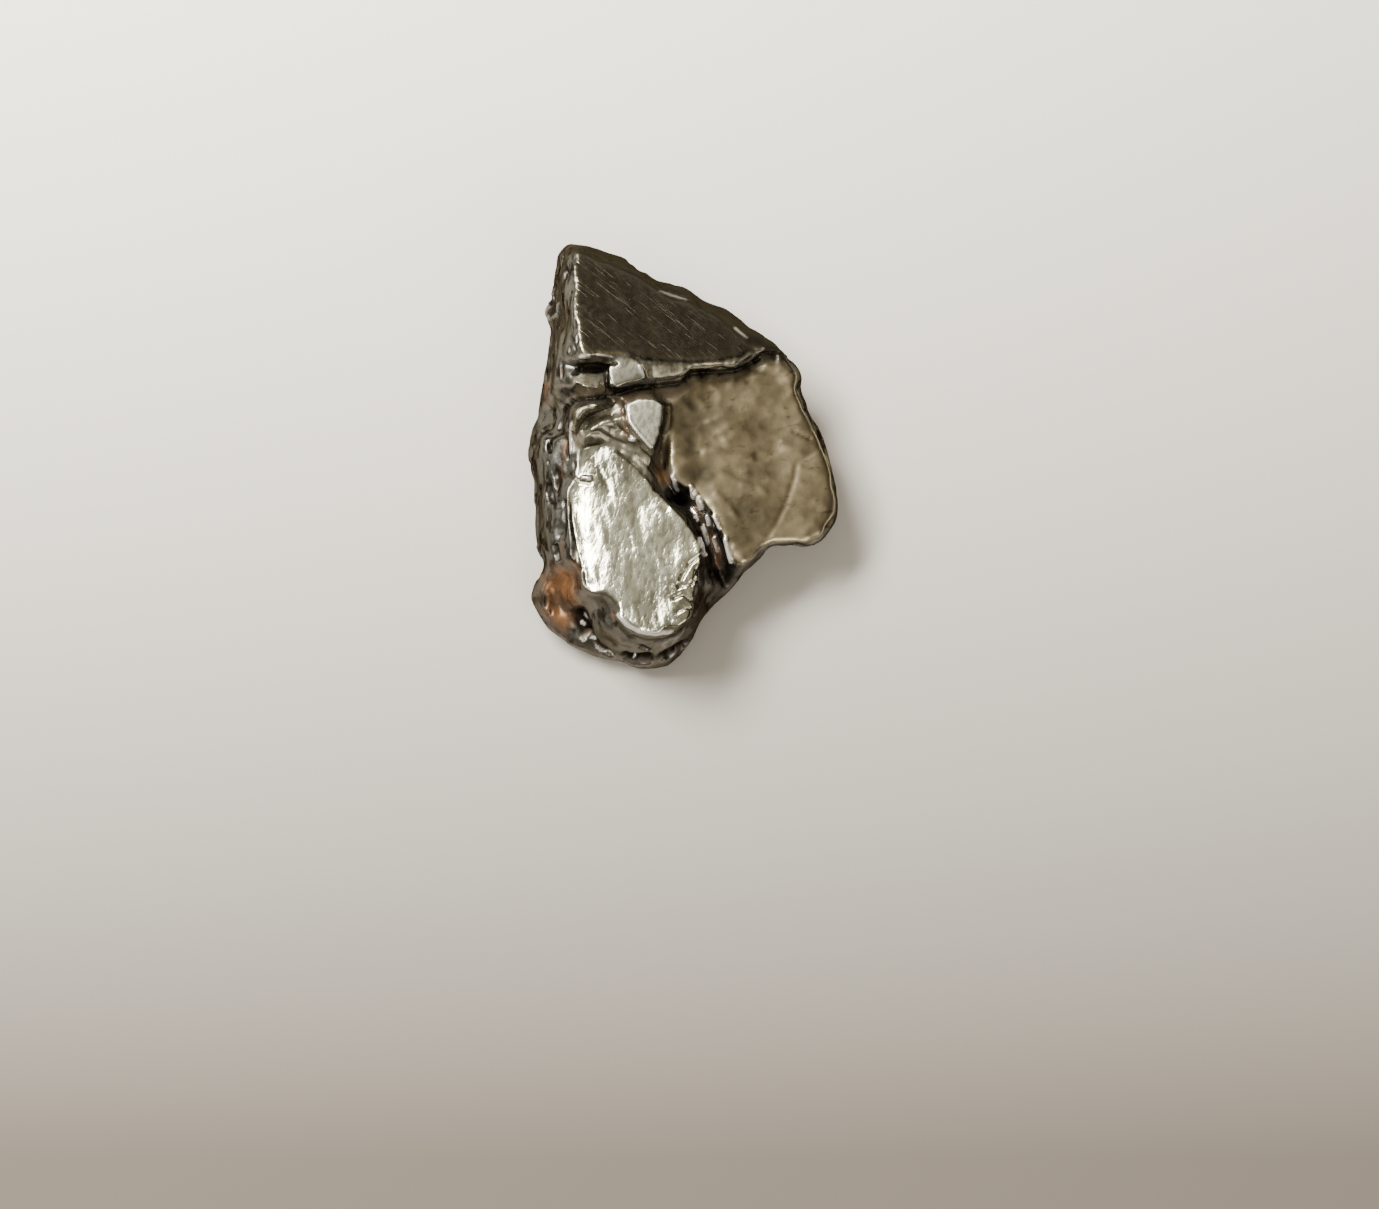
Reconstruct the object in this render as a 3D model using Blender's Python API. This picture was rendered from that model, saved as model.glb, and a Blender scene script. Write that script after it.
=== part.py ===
"""A small cleaned iron meteorite, one solid lump of metal with facets, a crack, a ravine and pits.

The top of the lump is drawn as an eye above its blunt end sees it: u to the right, v up the picture,
and z the true height above the ground. The underside is a shallow keel with a worn flat patch.
Everything is in millimetres until the last step, which turns the mesh into metres.
"""
import math

import bmesh
import bpy
from mathutils import Matrix, Vector, geometry, noise

# Driving dimensions, in millimetres.
LENGTH = 34.2
WIDTH = 25.0
HEIGHT = 11.7
MILLIMETRE = 0.001
VIEW_TILT = math.radians(15.0)
TO_EYE = Vector((0.0, -math.sin(VIEW_TILT), math.cos(VIEW_TILT)))

# The rim is where the lump is widest, clockwise from the pointed end: u, v, height.
BACK_RIM = [
    (-10.5, 16.2, 5.2), (-9.8, 17.0, 5.6), (-9.1, 17.2, 5.9), (-7.4, 16.8, 7.3), (-5.4, 16.2, 7.1),
    (-4.5, 15.8, 7.0), (-3.0, 14.7, 6.9), (-2.2, 14.3, 6.8), (-0.3, 13.7, 6.4), (0.5, 13.3, 6.3),
    (1.3, 12.7, 6.2), (3.0, 12.1, 5.9), (3.7, 11.7, 5.9), (5.2, 10.4, 5.8), (6.0, 10.1, 5.6),
    (7.4, 9.1, 5.5), (8.3, 8.0, 5.1),
]
RIGHT_RIM = [
    (9.3, 6.9, 4.2), (9.4, 6.3, 4.2), (9.2, 5.7, 4.3), (9.4, 5.0, 3.8), (9.9, 4.0, 3.6),
    (10.2, 3.2, 3.6), (10.9, 2.1, 3.6), (11.4, 0.6, 3.4), (11.8, -1.0, 3.3), (12.2, -2.8, 3.2),
    (12.2, -4.6, 3.2), (11.9, -5.4, 3.3), (11.0, -6.7, 3.7), (9.6, -7.4, 4.2), (8.2, -7.3, 4.6),
    (6.8, -7.2, 5.0),
]
FRONT_RIM = [
    (6.1, -8.2, 4.3), (4.8, -9.4, 3.7), (3.5, -10.7, 3.0), (2.0, -12.1, 2.3), (1.1, -13.4, 2.0),
    (0.5, -14.8, 1.8), (-0.6, -16.2, 1.4), (-1.4, -16.8, 1.2), (-2.5, -17.0, 1.1), (-3.7, -17.0, 1.1),
    (-4.9, -16.7, 1.1), (-7.3, -16.1, 1.1), (-9.3, -15.3, 1.3), (-10.8, -14.2, 1.5),
]
LEFT_RIM = [
    (-11.4, -13.4, 1.6), (-12.2, -11.9, 1.8), (-12.5, -11.2, 1.9), (-12.3, -10.2, 2.0), (-11.6, -9.1, 2.5),
    (-11.8, -8.4, 2.4), (-12.2, -7.4, 2.2), (-12.2, -5.2, 2.0), (-12.3, -2.5, 2.0), (-12.5, -1.4, 2.1),
    (-12.9, 0.2, 2.3), (-12.7, 1.0, 2.4), (-12.2, 2.9, 2.4), (-11.9, 3.9, 2.4), (-11.5, 6.2, 2.6),
    (-11.1, 8.6, 2.9), (-10.9, 10.4, 3.2), (-11.3, 11.3, 3.3), (-11.3, 11.9, 3.4), (-10.9, 13.8, 3.9),
    (-10.6, 14.9, 4.5),
]
RIM = BACK_RIM + RIGHT_RIM + FRONT_RIM + LEFT_RIM

# Each facet is an outline, u and v, and a plane: height at the middle, rise with u, rise with v.
CROWN_PLANE = (11.73, -0.29, -0.30)
CROWN = [
    (-8.8, 16.4), (-7.7, 16.1), (-6.4, 15.5), (-5.1, 15.0), (-3.7, 14.3), (-2.5, 13.5), (-1.8, 12.9),
    (0.6, 12.2), (2.1, 11.5), (3.1, 10.8), (4.0, 9.9), (4.9, 9.2), (5.2, 8.6), (4.5, 8.0), (2.8, 7.6),
    (0.5, 7.4), (-2.1, 7.5), (-4.9, 7.8), (-8.2, 7.7), (-8.5, 8.6), (-8.6, 9.8), (-8.9, 11.6), (-9.0, 15.4),
]
PLATEAU_PLANE = (7.2, -0.17, 0.02)
PLATEAU = [
    (1.0, 5.9), (2.3, 6.1), (3.9, 6.2), (5.1, 6.6), (6.1, 7.2), (7.1, 7.4), (8.2, 7.5), (8.9, 6.9),
    (9.0, 6.2), (8.8, 5.6), (9.0, 4.8), (9.8, 2.9), (10.4, 1.8), (10.9, 0.5), (11.4, -1.1), (11.8, -2.9),
    (11.7, -4.5), (11.4, -5.2), (10.6, -6.3), (9.4, -7.0), (8.2, -6.9), (6.9, -6.8), (6.4, -6.9), (5.2, -8.2),
    (4.4, -8.7), (3.9, -8.2), (3.3, -7.0), (2.4, -5.2), (1.4, -3.6), (0.6, -2.7), (-0.2, -2.5), (-1.0, -1.8),
    (-1.3, -0.6), (-1.35, 2.6), (-1.3, 4.1), (-0.2, 4.8),
]
BRIGHT_PLANE = (8.3, 0.13, 0.04)
BRIGHT = [
    (-8.3, 0.4), (-7.6, 0.8), (-6.7, 0.9), (-5.9, 0.6), (-5.1, 0.0), (-3.7, -1.2), (-2.4, -2.4),
    (-1.5, -3.6), (-0.3, -4.6), (0.2, -5.4), (0.9, -6.6), (1.4, -7.5), (1.2, -8.6), (0.9, -9.8),
    (0.6, -11.2), (0.3, -12.9), (-0.5, -13.5), (-2.4, -13.9), (-3.4, -13.8), (-4.3, -13.4), (-5.0, -12.7),
    (-5.6, -11.3), (-6.2, -10.9), (-7.5, -10.9), (-8.1, -10.4), (-8.5, -8.6), (-9.1, -5.8), (-9.4, -4.2),
    (-9.3, -2.7), (-8.7, -2.4), (-8.5, -1.0),
]
CHIP_PLANE = (9.4, 0.12, 0.05)
CHIP = [
    (-4.6, 3.9), (-3.7, 4.3), (-2.6, 4.3), (-1.65, 3.9), (-1.65, 3.1), (-1.75, 2.2), (-2.0, 1.4), (-2.6, 0.5),
    (-3.3, 1.1), (-3.9, 1.7), (-4.3, 2.5),
]
SHELF_PLANE = (12.0, 0.30, 0.05)
SHELF = [(-9.0, 3.5), (-8.9, 2.2), (-8.4, 2.8), (-7.8, 3.5), (-6.6, 3.9), (-7.4, 4.1), (-8.5, 4.0)]
TOOTH_PLANE = (11.6, 0.12, -0.05)
TOOTH = [(-8.9, 6.0), (-7.7, 6.2), (-6.7, 6.2), (-6.7, 5.2), (-7.1, 5.0), (-8.1, 5.1), (-8.8, 5.4)]
FLAKE_PLANE = (10.6, 0.02, 0.05)
FLAKE = [(-5.9, 6.7), (-5.3, 7.1), (-3.7, 7.1), (-3.4, 5.9), (-4.5, 5.8), (-5.7, 5.4)]
FACETS = [
    (CROWN, CROWN_PLANE), (PLATEAU, PLATEAU_PLANE), (BRIGHT, BRIGHT_PLANE), (CHIP, CHIP_PLANE),
    (SHELF, SHELF_PLANE), (TOOTH, TOOTH_PLANE), (FLAKE, FLAKE_PLANE),
]

# The smooth slope from the crown down to the crack's lip.
LIP = [
    (-3.9, 7.5), (4.5, 8.0), (5.2, 8.6), (6.3, 8.6), (5.2, 7.8), (3.9, 7.1), (0.5, 6.9), (-0.4, 6.2),
    (-4.1, 5.6),
]

# Open lines between the facets, each point u, v, height.
CRACK_LIP = [
    (-5.6, 5.1, 10.2), (-4.1, 5.6, 9.8), (-2.9, 5.9, 9.6), (-0.4, 6.2, 9.2), (0.5, 6.9, 8.9),
    (2.3, 7.0, 8.5), (3.9, 7.1, 8.0), (5.2, 7.8, 7.3), (6.3, 8.5, 6.8), (7.7, 8.5, 6.1),
]
CRACK_FLOOR = [
    (-5.5, 4.9, 8.4), (-4.1, 5.42, 7.6), (-2.9, 5.72, 7.2), (-0.4, 6.02, 6.4), (0.6, 6.72, 6.1),
    (2.3, 6.82, 5.9), (3.9, 6.92, 5.6), (5.22, 7.6, 5.3), (6.32, 8.3, 5.3), (7.7, 8.3, 5.0),
]
CRACK_SILL = [
    (-5.3, 4.7, 8.9), (-4.1, 5.22, 8.7), (-2.9, 5.52, 8.3), (-0.4, 5.82, 7.4), (0.7, 6.5, 7.0),
    (2.3, 6.62, 6.75), (3.9, 6.7, 6.5), (5.25, 7.38, 6.25), (6.35, 8.1, 6.0), (7.7, 8.1, 5.8),
]
SIDE_CRACK_FLOOR = [
    (-6.2, 4.7, 8.4), (-7.1, 4.5, 8.1), (-8.3, 4.6, 7.6), (-9.1, 4.4, 7.0), (-9.8, 3.6, 5.8), (-10.3, 2.2, 5.0),
]
NOTCH_FLOOR = [(-8.5, 7.0, 9.3), (-7.6, 6.8, 8.9), (-6.6, 6.8, 8.9)]
SLIT_FLOOR = [(-6.35, 6.6, 8.8), (-6.35, 5.3, 8.7)]
CURVED_GROOVE = [(-8.6, 1.5, 7.4), (-8.1, 2.4, 7.6), (-7.5, 3.0, 7.8), (-6.6, 3.4, 7.9), (-5.5, 3.8, 8.0)]
LEDGE_CREST = [(-8.0, 1.4, 8.3), (-7.2, 2.3, 8.9), (-6.2, 2.7, 9.0), (-5.1, 2.9, 8.9)]
LEDGE_FOOT = [(-5.6, 1.5, 7.9), (-4.6, 0.8, 7.6), (-3.5, 0.0, 7.4), (-2.8, -0.9, 7.6)]
RAVINE_FLOOR = [
    (-1.55, 3.6, 7.2), (-1.6, 2.2, 6.8), (-1.75, 0.8, 6.1), (-1.95, -0.8, 5.3), (-1.5, -2.2, 4.6),
    (-0.5, -3.5, 3.8), (0.5, -4.2, 4.4), (1.3, -5.6, 4.5), (2.0, -7.0, 4.4), (2.3, -8.4, 4.2),
]
LEFT_KNEE = [
    (-9.8, 15.9, 7.6), (-9.9, 14.0, 8.6), (-9.9, 11.8, 8.9), (-10.0, 9.8, 8.9), (-10.2, 7.6, 9.0),
    (-10.5, 5.6, 8.4),
]
LOWER_KNEE = [(-11.3, 1.2, 5.8), (-11.5, 0.0, 5.6), (-11.0, -2.6, 5.2), (-11.1, -5.4, 5.0), (-10.5, -7.8, 5.4)]
RECESS_LIP = [(-9.3, -8.9, 5.4), (-10.4, -8.9, 4.6), (-11.2, -9.8, 3.8), (-11.5, -11.2, 3.4), (-11.0, -12.6, 2.9)]
RECESS_FLOOR = [(-9.3, -9.9, 3.6), (-10.2, -10.7, 2.6), (-10.2, -12.0, 2.4), (-9.5, -13.0, 2.8)]
HOLLOW_FLOOR = [(-8.2, -12.7, 3.2), (-7.8, -14.0, 2.8), (-6.2, -15.5, 2.3)]
BITE_FLOOR = [(-7.0, -11.8, 5.6), (-6.0, -12.2, 5.8)]
BLUNT_KNEE = [(-6.3, -13.6, 5.6), (-5.0, -15.0, 4.7), (-3.6, -15.6, 4.6), (-1.8, -15.5, 4.6), (-0.4, -14.6, 4.8)]
LINES = [
    CRACK_LIP, CRACK_FLOOR, CRACK_SILL, SIDE_CRACK_FLOOR, NOTCH_FLOOR, SLIT_FLOOR, CURVED_GROOVE,
    LEDGE_CREST, LEDGE_FOOT, RAVINE_FLOOR, LEFT_KNEE, LOWER_KNEE, RECESS_LIP, RECESS_FLOOR,
    HOLLOW_FLOOR, BITE_FLOOR, BLUNT_KNEE,
]

# Under the rim: how far each ring keeps out from the middle, its share of the rim's height, its drop.
KEEL_MIDDLE = (-1.0, -0.6)
KEEL_RINGS = [(0.95, 0.66, 0.0), (0.84, 0.38, 0.0), (0.66, 0.18, 0.0), (0.46, 0.06, 0.1), (0.24, 0.0, 0.35)]
KEEL_BOTTOM = -0.45

# Single dents on the seen side: u, v, radius, depth, stretch along the lump.
DENTS = [
    (-10.6, 12.6, 0.55, 0.9, 2.6), (-10.5, 11.5, 0.50, 0.8, 1.0), (-10.9, 0.7, 0.42, 0.7, 1.2),
    (-10.8, -3.0, 0.45, 0.6, 1.8), (-10.4, -7.7, 0.50, 0.6, 1.4), (-0.5, -3.6, 0.60, 0.9, 1.0),
    (-3.7, 0.8, 0.40, 0.6, 1.0), (-1.2, -15.6, 0.45, 0.8, 1.0), (-3.8, -16.0, 0.42, 0.9, 0.7),
    (-3.0, -15.2, 0.34, 0.4, 0.7), (1.0, -1.4, 0.90, 0.15, 1.2), (0.9, -8.9, 0.45, 0.35, 1.4),
    (0.5, -10.5, 0.40, 0.30, 1.0),
]

# How the metal is roughened and how fine the solid is.
VOXEL = 0.18
TRIANGLES = 9600
SMOOTHING_PASSES = 2
WALL_LUMP = 0.20
WALL_PIT = 0.36
PLATEAU_SWELL = 0.14
BRIGHT_RIPPLE = 0.05
KEEL_LUMP = 0.42
SHARE_OF_MERGE = 0.02

METAL_COLOUR = (0.23, 0.21, 0.18, 1.0)
METAL_ROUGHNESS = 0.32


def clear_scene():
    for thing in list(bpy.data.objects):
        bpy.data.objects.remove(thing, do_unlink=True)


def seen(u, v, z):
    """The point at height z that the eye sees at u, v."""
    return Vector((u, (v - z * math.sin(VIEW_TILT)) / math.cos(VIEW_TILT), z))


def picture(point):
    """Where the eye sees a point: u, v."""
    return point.x, point.y * math.cos(VIEW_TILT) + point.z * math.sin(VIEW_TILT)


def on_plane(outline, plane):
    middle, rise_u, rise_v = plane
    return [(u, v, middle + rise_u * u + rise_v * v) for u, v in outline]


def gather_lines():
    """All points of the seen side, and the edges that its triangles must keep."""
    points = list(RIM)
    edges = []
    for outline, plane in FACETS:
        first = len(points)
        points += on_plane(outline, plane)
        count = len(outline)
        edges += [(first + i, first + (i + 1) % count) for i in range(count)]
    for line in LINES:
        first = len(points)
        points += line
        edges += [(first + i, first + i + 1) for i in range(len(line) - 1)]
    return points, edges


def add_seen_side(bm):
    """Triangles between the rim, the facets and the lines. Returns the rim's vertices."""
    points, edges = gather_lines()
    flat = [Vector((u, v)) for u, v, z in points]
    rim_face = [tuple(range(len(RIM)))]
    result = geometry.delaunay_2d_cdt(flat, edges, rim_face, 1, 1e-5)
    made, faces, sources = result[0], result[2], result[3]
    verts = []
    for place, source in zip(made, sources):
        if source:
            height = points[source[0]][2]
        else:
            height = min(points, key=lambda p: (p[0] - place.x) ** 2 + (p[1] - place.y) ** 2)[2]
        verts.append(bm.verts.new(seen(place.x, place.y, height)))
    for face in faces:
        bm.faces.new([verts[i] for i in face])
    rim = [None] * len(RIM)
    for vert, source in zip(verts, sources):
        for index in source:
            if index < len(RIM):
                rim[index] = vert
    return rim


def add_keel(bm, rim):
    """The underside, ring by ring from the rim to a point under the middle."""
    middle_x, middle_y = KEEL_MIDDLE
    outer = rim
    for share, keep, drop in KEEL_RINGS:
        inner = []
        for vert in rim:
            x = middle_x + (vert.co.x - middle_x) * share
            y = middle_y + (vert.co.y - middle_y) * share
            inner.append(bm.verts.new((x, y, vert.co.z * keep - drop)))
        for i in range(len(rim)):
            j = (i + 1) % len(rim)
            bm.faces.new((outer[i], outer[j], inner[j], inner[i]))
        outer = inner
    bottom = bm.verts.new((middle_x, middle_y, KEEL_BOTTOM))
    for i in range(len(rim)):
        bm.faces.new((outer[i], outer[(i + 1) % len(rim)], bottom))


def block_mesh():
    bm = bmesh.new()
    rim = add_seen_side(bm)
    add_keel(bm, rim)
    bmesh.ops.triangulate(bm, faces=bm.faces[:])
    bmesh.ops.recalc_face_normals(bm, faces=bm.faces[:])
    mesh = bpy.data.meshes.new("meteorite_blocked")
    bm.to_mesh(mesh)
    bm.free()
    return mesh


def with_modifier(mesh, kind, **settings):
    """The mesh as one modifier leaves it."""
    holder = bpy.data.objects.new("holder", mesh)
    bpy.context.scene.collection.objects.link(holder)
    modifier = holder.modifiers.new(kind.lower(), kind)
    for name, value in settings.items():
        setattr(modifier, name, value)
    depsgraph = bpy.context.evaluated_depsgraph_get()
    made = bpy.data.meshes.new_from_object(holder.evaluated_get(depsgraph))
    bpy.data.objects.remove(holder, do_unlink=True)
    bpy.data.meshes.remove(mesh)
    return made


def inside(u, v, outline):
    """True where u, v lies within the outline."""
    result = False
    for (u1, v1), (u2, v2) in zip(outline, outline[1:] + outline[:1]):
        if (v1 > v) != (v2 > v) and u < u1 + (u2 - u1) * (v - v1) / (v2 - v1):
            result = not result
    return result


def pitted(place, size, depth):
    """Lumps with rounded pits between them: a signed height."""
    value = noise.noise(place / size)
    pit = max(0.0, -value - 0.12)
    return 0.45 * depth * value - 2.2 * depth * pit


def plateau_relief(co):
    swell = noise.noise(Vector((co.x / 3.4, co.y / 4.2, 7.3)))
    small = noise.noise(Vector((co.x / 1.1, co.y / 1.6, 2.1)))
    return PLATEAU_SWELL * swell + 0.25 * PLATEAU_SWELL * small


def bright_relief(co):
    across = co.x + 0.25 * co.y
    ripple = noise.noise(Vector((across / 0.8, co.y / 2.6, 4.4)))
    swell = noise.noise(Vector((co.x / 2.4, co.y / 3.4, 9.1)))
    return BRIGHT_RIPPLE * (0.6 * ripple + swell)


def wall_relief(co):
    along = Vector((co.x, co.y * 0.55, co.z))
    lumps = pitted(along + Vector((3.0, 1.0, 5.0)), 1.7, WALL_LUMP)
    pits = pitted(along * 1.3 + Vector((9.0, 4.0, 2.0)), 0.9, WALL_PIT * 0.5)
    return lumps + pits


def keel_relief(co):
    thumb = pitted(co + Vector((1.0, 8.0, 3.0)), 3.6, KEEL_LUMP)
    small = pitted(co + Vector((6.0, 2.0, 1.0)), 1.3, 0.4 * WALL_LUMP)
    return thumb + small


def relief(co, normal):
    """How far the metal stands out from the blocked shape at a point."""
    if normal.dot(TO_EYE) < 0.02:
        return keel_relief(co)
    u, v = picture(co)
    if inside(u, v, CROWN):
        return 0.02 * noise.noise(co / 1.5)
    if inside(u, v, PLATEAU):
        return plateau_relief(co)
    if inside(u, v, BRIGHT):
        return bright_relief(co)
    if any(inside(u, v, outline) for outline in (CHIP, FLAKE, TOOTH, SHELF, LIP)):
        return 0.05 * noise.noise(co / 0.9)
    return wall_relief(co)


def dent_depth(co, normal):
    """How deep the single dents reach at a point."""
    if normal.dot(TO_EYE) < 0.02:
        return 0.0
    u, v = picture(co)
    depth = 0.0
    for middle_u, middle_v, radius, deepest, stretch in DENTS:
        away = math.hypot((u - middle_u) / radius, (v - middle_v) / (radius * stretch))
        if away < 1.0:
            depth = max(depth, deepest * (1.0 - away * away) ** 2)
    return depth


def roughen(mesh):
    bm = bmesh.new()
    bm.from_mesh(mesh)
    every_axis = {"use_axis_x": True, "use_axis_y": True, "use_axis_z": True}
    for _ in range(SMOOTHING_PASSES):
        bmesh.ops.smooth_vert(bm, verts=bm.verts[:], factor=0.5, **every_axis)
    bm.normal_update()
    moves = []
    for vert in bm.verts:
        out = relief(vert.co, vert.normal)
        moves.append(vert.normal * out - TO_EYE * dent_depth(vert.co, vert.normal))
    for vert, move in zip(bm.verts, moves):
        vert.co += move
    bm.to_mesh(mesh)
    bm.free()


def fit_size(bm):
    """Makes the lump its driving size, on the ground and centred."""
    low = Vector([min(vert.co[axis] for vert in bm.verts) for axis in range(3)])
    high = Vector([max(vert.co[axis] for vert in bm.verts) for axis in range(3)])
    size = high - low
    middle = Vector(((low.x + high.x) / 2, (low.y + high.y) / 2, low.z))
    scale = Matrix.Diagonal((WIDTH / size.x, LENGTH / size.y, HEIGHT / size.z))
    for vert in bm.verts:
        vert.co = (scale @ (vert.co - middle)) * MILLIMETRE


def cut_flat_patch(bm):
    """Wears the keel off level, so that the lump rests on a real flat face."""
    geom = bm.verts[:] + bm.edges[:] + bm.faces[:]
    cut = bmesh.ops.bisect_plane(bm, geom=geom, plane_co=(0, 0, 0), plane_no=(0, 0, -1), clear_outer=True)
    ring = [item for item in cut["geom_cut"] if isinstance(item, bmesh.types.BMEdge)]
    bmesh.ops.edgenet_fill(bm, edges=ring)
    bmesh.ops.triangulate(bm, faces=[face for face in bm.faces if len(face.verts) > 3])
    bmesh.ops.recalc_face_normals(bm, faces=bm.faces[:])


def finish_mesh(mesh):
    bm = bmesh.new()
    bm.from_mesh(mesh)
    cut_flat_patch(bm)
    bmesh.ops.dissolve_degenerate(bm, dist=SHARE_OF_MERGE, edges=bm.edges[:])
    bmesh.ops.triangulate(bm, faces=bm.faces[:])
    fit_size(bm)
    bm.normal_update()
    bm.to_mesh(mesh)
    bm.free()


def metal():
    material = bpy.data.materials.new("meteoritic_iron")
    material.use_nodes = True
    shader = material.node_tree.nodes["Principled BSDF"]
    shader.inputs["Base Color"].default_value = METAL_COLOUR
    shader.inputs["Metallic"].default_value = 1.0
    shader.inputs["Roughness"].default_value = METAL_ROUGHNESS
    material.diffuse_color = METAL_COLOUR
    return material


def meteorite():
    mesh = with_modifier(block_mesh(), "REMESH", mode="VOXEL", voxel_size=VOXEL, adaptivity=0.0)
    roughen(mesh)
    faces = sum(len(polygon.vertices) - 2 for polygon in mesh.polygons)
    thinned = {"decimate_type": "COLLAPSE", "ratio": TRIANGLES / faces, "use_collapse_triangulate": True}
    mesh = with_modifier(mesh, "DECIMATE", **thinned)
    finish_mesh(mesh)
    mesh.name = "meteorite"
    mesh.materials.append(metal())
    lump = bpy.data.objects.new("meteorite", mesh)
    bpy.context.scene.collection.objects.link(lump)


clear_scene()
meteorite()
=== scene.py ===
"""A small cleaned iron meteorite on a pale sheet, seen from above its blunt end.

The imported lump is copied, remeshed finely and given its small relief: ripples, pits, steps and cracks.
Places on its seen side are u, v in millimetres, as an eye above the blunt end sees them.
"""
import math

import bpy
import numpy as np
from mathutils import Matrix, Vector, noise


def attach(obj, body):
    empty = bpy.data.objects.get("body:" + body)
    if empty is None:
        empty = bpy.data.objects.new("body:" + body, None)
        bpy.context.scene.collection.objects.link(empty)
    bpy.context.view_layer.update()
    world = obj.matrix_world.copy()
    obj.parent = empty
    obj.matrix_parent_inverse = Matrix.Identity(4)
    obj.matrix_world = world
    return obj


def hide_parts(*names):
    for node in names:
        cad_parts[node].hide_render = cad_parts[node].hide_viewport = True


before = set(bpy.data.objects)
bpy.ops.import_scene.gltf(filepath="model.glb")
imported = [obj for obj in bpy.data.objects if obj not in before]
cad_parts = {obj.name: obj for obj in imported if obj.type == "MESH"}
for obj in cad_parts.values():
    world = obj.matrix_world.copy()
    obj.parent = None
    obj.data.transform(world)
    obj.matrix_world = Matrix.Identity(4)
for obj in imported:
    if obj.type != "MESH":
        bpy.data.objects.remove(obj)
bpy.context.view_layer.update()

# A millimetre, in metres, and how far the eye is tilted from straight above.
MILLIMETRE = 0.001
VIEW_TILT = math.radians(15.0)
TO_EYE = np.array([0.0, -math.sin(VIEW_TILT), math.cos(VIEW_TILT)])
# What is added to a place's own coordinates, as the eye sees them, to give u and v.
EYE_U = -0.33
EYE_V = -0.845

# The grain of the fine mesh, in millimetres.
FINE_VOXEL = 0.156

# How often each part is smoothed, and how far one pass moves a point.
WHOLE_PASSES = 5
PLATEAU_PASSES = 8
RECESS_PASSES = 25
EDGE_PASSES = 10
WALL_PASSES = 5
BLUNT_PASSES = 10
PASS_SHARE = 0.5
LAST_PASS_SHARE = 0.35

# The camera: what it aims at and how wide it sees there, in metres, and its lens in millimetres.
AIM = Vector((0.61, -11.34, 0.0)) * MILLIMETRE
SEEN_WIDTH = 0.1103
LENS = 150.0
SENSOR = 36.0
CLIP = (0.01, 10.0)

# The facets' outlines, as the eye sees them.
CROWN = [
    (-8.8, 16.4), (-7.7, 16.1), (-6.4, 15.5), (-5.1, 15.0), (-3.7, 14.3), (-2.5, 13.5), (-1.8, 12.9),
    (0.6, 12.2), (2.1, 11.5), (3.1, 10.8), (4.0, 9.9), (4.9, 9.2), (5.2, 8.6), (4.5, 8.0), (2.8, 7.6),
    (0.5, 7.4), (-2.1, 7.5), (-4.9, 7.8), (-8.2, 7.7), (-8.5, 8.6), (-8.6, 9.8), (-8.9, 11.6), (-9.0, 15.4),
]
CROWN_BACK_EDGE = CROWN[:13]
PLATEAU = [
    (2.3, 6.4), (3.9, 6.5), (5.3, 7.1), (6.4, 7.7), (8.2, 7.7), (9.1, 6.9), (9.0, 5.7), (9.2, 4.8),
    (10.0, 2.9), (11.1, 0.5), (11.7, -1.1), (12.1, -2.9), (12.0, -4.5), (10.8, -6.6), (9.4, -7.3),
    (8.2, -7.2), (6.9, -7.1), (5.4, -8.4), (4.4, -9.0), (3.9, -8.4), (3.3, -7.2), (2.4, -5.4), (1.4, -3.8),
    (0.6, -2.8), (-0.3, -2.6), (-1.1, -1.8), (-1.5, -0.6), (-1.55, 2.6), (-1.5, 4.3), (-0.6, 5.5), (0.4, 6.2),
]
BRIGHT = [
    (-8.3, 0.5), (-7.6, 0.9), (-6.7, 1.0), (-5.9, 0.7), (-5.1, 0.1), (-3.7, -1.1), (-2.4, -2.3),
    (-1.4, -3.5), (-0.2, -4.6), (0.2, -5.3), (1.0, -6.5), (1.5, -7.5), (1.3, -8.6), (1.0, -9.8),
    (0.7, -11.2), (0.5, -12.9), (-0.5, -13.8), (-2.4, -14.2), (-3.4, -14.1), (-4.4, -13.7), (-5.2, -12.9),
    (-5.7, -11.4), (-6.2, -10.9), (-7.5, -10.9), (-8.2, -10.4), (-8.6, -8.6), (-9.2, -5.8), (-9.5, -4.2),
    (-9.4, -2.6), (-8.8, -2.2), (-8.6, -1.0),
]
CHIP = [
    (-4.7, 4.1), (-3.7, 4.5), (-2.5, 4.45), (-1.6, 4.0), (-1.6, 3.1), (-1.7, 2.2), (-1.95, 1.4), (-2.6, 0.4),
    (-3.3, 1.0), (-3.9, 1.6), (-4.4, 2.5),
]
FLAKE = [
    (-6.15, 6.9), (-5.6, 7.5), (-4.6, 8.1), (-3.8, 7.7), (-3.4, 6.9), (-3.1, 5.9), (-4.5, 5.6), (-6.1, 5.0),
]
TOOTH = [(-8.8, 6.3), (-7.7, 6.5), (-6.4, 6.5), (-6.4, 4.8), (-7.3, 4.8), (-8.3, 5.0), (-8.9, 5.6)]
LIP = [
    (-3.9, 7.5), (-2.1, 7.4), (0.5, 7.3), (2.8, 7.5), (4.5, 7.9), (5.4, 8.7), (6.3, 8.7), (5.2, 7.9),
    (3.9, 7.1), (2.3, 6.95), (0.4, 6.9), (-0.4, 6.1), (-2.9, 5.8), (-4.0, 5.6), (-3.4, 6.2),
]
LEDGES = [
    (-8.9, 4.3), (-6.2, 4.5), (-4.9, 4.2), (-4.7, 2.4), (-2.3, 0.2), (-1.7, -3.2), (-2.6, -2.2),
    (-5.2, 0.2), (-6.8, 1.1), (-8.3, 0.6), (-9.0, 0.2),
]
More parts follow.
